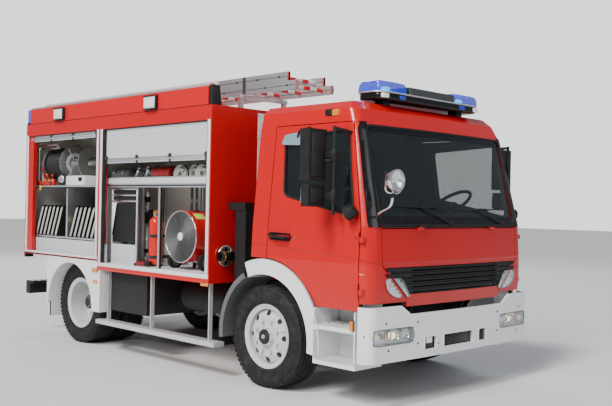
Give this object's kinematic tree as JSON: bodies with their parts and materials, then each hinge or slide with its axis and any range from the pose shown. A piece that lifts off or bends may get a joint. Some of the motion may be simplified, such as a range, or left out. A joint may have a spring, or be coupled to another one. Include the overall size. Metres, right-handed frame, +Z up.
{
  "type": "fire engine",
  "caption": "Two-axle light fire engine with a tilting crew cab, shuttered equipment lockers, hose reel, portable blower and a sliding ladder on the roof.",
  "frame": {"origin": "on the ground, at the middle of the length and the width", "axes": "+X forward, +Y to the vehicle's left, +Z up"},
  "size_m": [5.613, 2.85, 2.737],
  "materials": {
    "red_paint": "gloss",
    "white_paint": "gloss",
    "frame_black": "satin",
    "tyre": "matte",
    "wheel_grey": "satin",
    "aluminium": "satin",
    "window_glass": "clear",
    "black_plastic": "matte",
    "seat_cloth": "matte",
    "lamp_lens": "clear",
    "black_rubber": "satin",
    "inner_paint": "satin",
    "bare_steel": "satin",
    "cylinder_red": "gloss"
  },
  "bodies": {
    "vehicle_body": {"chassis_frame": "frame_black", "engine_block": "bare_steel", "front_axle": "frame_black", "rear_axle": "frame_black", "under_boxes": "frame_black", "front_bumper": "white_paint", "headlamps": "lamp_lens", "front_mudguards": "black_plastic", "cab_steps": "white_paint", "body_floor": "red_paint", "body_cross_walls": "red_paint", "body_inner_walls": "inner_paint", "body_posts": "red_paint", "body_roof": "red_paint", "roof_coamings": "red_paint", "roller_shutters": "aluminium", "rear_wheel_arches": "white_paint", "step_bars": "frame_black", "locker_shelves": "aluminium", "hose_racks": "frame_black", "blower_housing": "red_paint", "extinguisher": "cylinder_red", "roof_ladder": "aluminium", "ladder_rack": "bare_steel", "body_lamps": "lamp_lens", "rear_underrun": "frame_black", "rear_ladder": "aluminium", "air_intake": "black_plastic", "outlet_valve": "bare_steel"},
    "cab": {"cab_roof": "red_paint", "cab_rear": "red_paint", "cab_front": "red_paint", "windscreen": "window_glass", "cab_floor": "frame_black", "seats": "seat_cloth", "dashboard": "black_plastic", "cab_lamps": "lamp_lens"},
    "right_door": {"door_right": "red_paint", "door_glass_right": "window_glass", "mirrors_right": "black_plastic"},
    "left_door": {"door_left": "red_paint", "door_glass_left": "window_glass", "mirrors_left": "black_plastic"},
    "flap": {"front_flap": "red_paint", "grille": "black_plastic"},
    "hand_wheel": {"steering_wheel": "black_plastic"},
    "right_knuckle": {"knuckle_right": "frame_black"},
    "left_knuckle": {"knuckle_left": "frame_black"},
    "steering_link": {"track_rod": "frame_black"},
    "front_wheel_right": {"front_tyre_right": "tyre", "front_rim_right": "wheel_grey"},
    "front_wheel_left": {"front_tyre_left": "tyre", "front_rim_left": "wheel_grey"},
    "rear_wheels_right": {"rear_tyres_right": "tyre", "rear_rims_right": "wheel_grey"},
    "rear_wheels_left": {"rear_tyres_left": "tyre", "rear_rims_left": "wheel_grey"},
    "reel": {"hose_reel_drum": "bare_steel"},
    "rotor": {"blower_rotor": "black_plastic"}
  },
  "joints": [
    {"name": "cab_tilt", "type": "hinge", "parent": "vehicle_body", "child": "cab", "pos_m": [2.4885, 0, 0.85], "axis": [0, 1, 0], "range_deg": [0, 50]},
    {"name": "right_door_swing", "type": "hinge", "parent": "cab", "child": "right_door", "pos_m": [2.4765, -1.132, 1.4], "axis": [0, 0, 1], "range_deg": [0, 70]},
    {"name": "left_door_swing", "type": "hinge", "parent": "cab", "child": "left_door", "pos_m": [2.4765, 1.132, 1.4], "axis": [0, 0, -1], "range_deg": [0, 70]},
    {"name": "front_flap_lift", "type": "hinge", "parent": "cab", "child": "flap", "pos_m": [2.6005, 0, 1.3885], "axis": [0, -1, 0], "range_deg": [0, 80]},
    {"name": "steering_turn", "type": "hinge", "parent": "cab", "child": "hand_wheel", "pos_m": [2.1185, 0.56, 1.59], "axis": [-0.5736, 0, 0.8192], "range_deg": [-720, 720]},
    {"name": "right_wheel_steer", "type": "hinge", "parent": "vehicle_body", "child": "right_knuckle", "pos_m": [1.4285, -0.85, 0.435], "axis": [0, 0, 1], "range_deg": [-40, 40]},
    {"name": "left_wheel_steer", "type": "hinge", "parent": "vehicle_body", "child": "left_knuckle", "pos_m": [1.4285, 0.85, 0.435], "axis": [0, 0, 1], "range_deg": [-40, 40]},
    {"name": "track_rod_turn", "type": "hinge", "parent": "right_knuckle", "child": "steering_link", "pos_m": [1.2585, -0.85, 0.385], "axis": [0, 0, 1], "range_deg": [-40, 40]},
    {"name": "front_right_spin", "type": "hinge", "parent": "right_knuckle", "child": "front_wheel_right", "pos_m": [1.4285, -0.973, 0.435], "axis": [0, 1, 0], "continuous": true},
    {"name": "front_left_spin", "type": "hinge", "parent": "left_knuckle", "child": "front_wheel_left", "pos_m": [1.4285, 0.973, 0.435], "axis": [0, 1, 0], "continuous": true},
    {"name": "rear_right_spin", "type": "hinge", "parent": "vehicle_body", "child": "rear_wheels_right", "pos_m": [-1.5915, -0.83, 0.435], "axis": [0, 1, 0], "continuous": true},
    {"name": "rear_left_spin", "type": "hinge", "parent": "vehicle_body", "child": "rear_wheels_left", "pos_m": [-1.5915, 0.83, 0.435], "axis": [0, 1, 0], "continuous": true},
    {"name": "hose_reel_spin", "type": "hinge", "parent": "vehicle_body", "child": "reel", "pos_m": [-2.2615, -0.93, 1.985], "axis": [1, 0, 0], "continuous": true},
    {"name": "blower_spin", "type": "hinge", "parent": "vehicle_body", "child": "rotor", "pos_m": [0.2285, -1, 1.235], "axis": [0, 1, 0], "continuous": true}
  ],
  "couplings": [
    {"joint": "left_wheel_steer", "follows": "right_wheel_steer", "ratio": 1},
    {"joint": "track_rod_turn", "follows": "right_wheel_steer", "ratio": -1},
    {"joint": "steering_turn", "follows": "right_wheel_steer", "ratio": 18}
  ]
}
